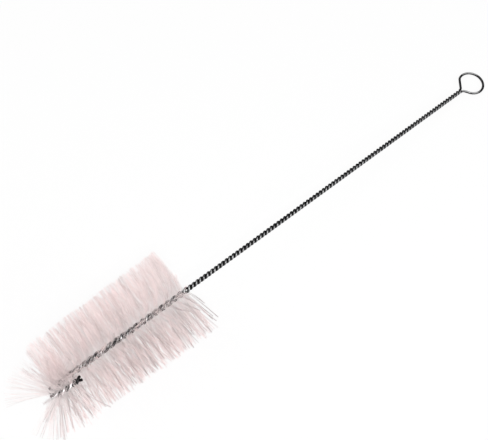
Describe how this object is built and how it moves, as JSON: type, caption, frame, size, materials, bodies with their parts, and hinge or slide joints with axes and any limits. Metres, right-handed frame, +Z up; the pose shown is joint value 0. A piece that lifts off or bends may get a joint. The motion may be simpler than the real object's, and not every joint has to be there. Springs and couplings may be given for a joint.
{
  "type": "bottle brush",
  "caption": "Laboratory bottle brush: a twisted wire handle with a hanging eye grips a tapered head of nylon bristles that fan out over the folded tip.",
  "frame": {"origin": "on the table below the middle of the brush's length, with the brush lying as it comes to rest on its bristles and the far side of its eye", "axes": "+X from the bristle head towards the hanging eye, along the handle as seen from above; +Z up from the table; the stem slopes down towards the eye in the plane Y = 0"},
  "size_m": [0.4317, 0.0666, 0.0723],
  "materials": {
    "wire": "dark drawn steel wire with a thin oxide film, semi-gloss, with bright glints",
    "bristle": "fine milky nylon filaments, slightly translucent, satin"
  },
  "bodies": {
    "root": {"twisted_wire": "wire", "bristles": "bristle"}
  },
  "joints": []
}
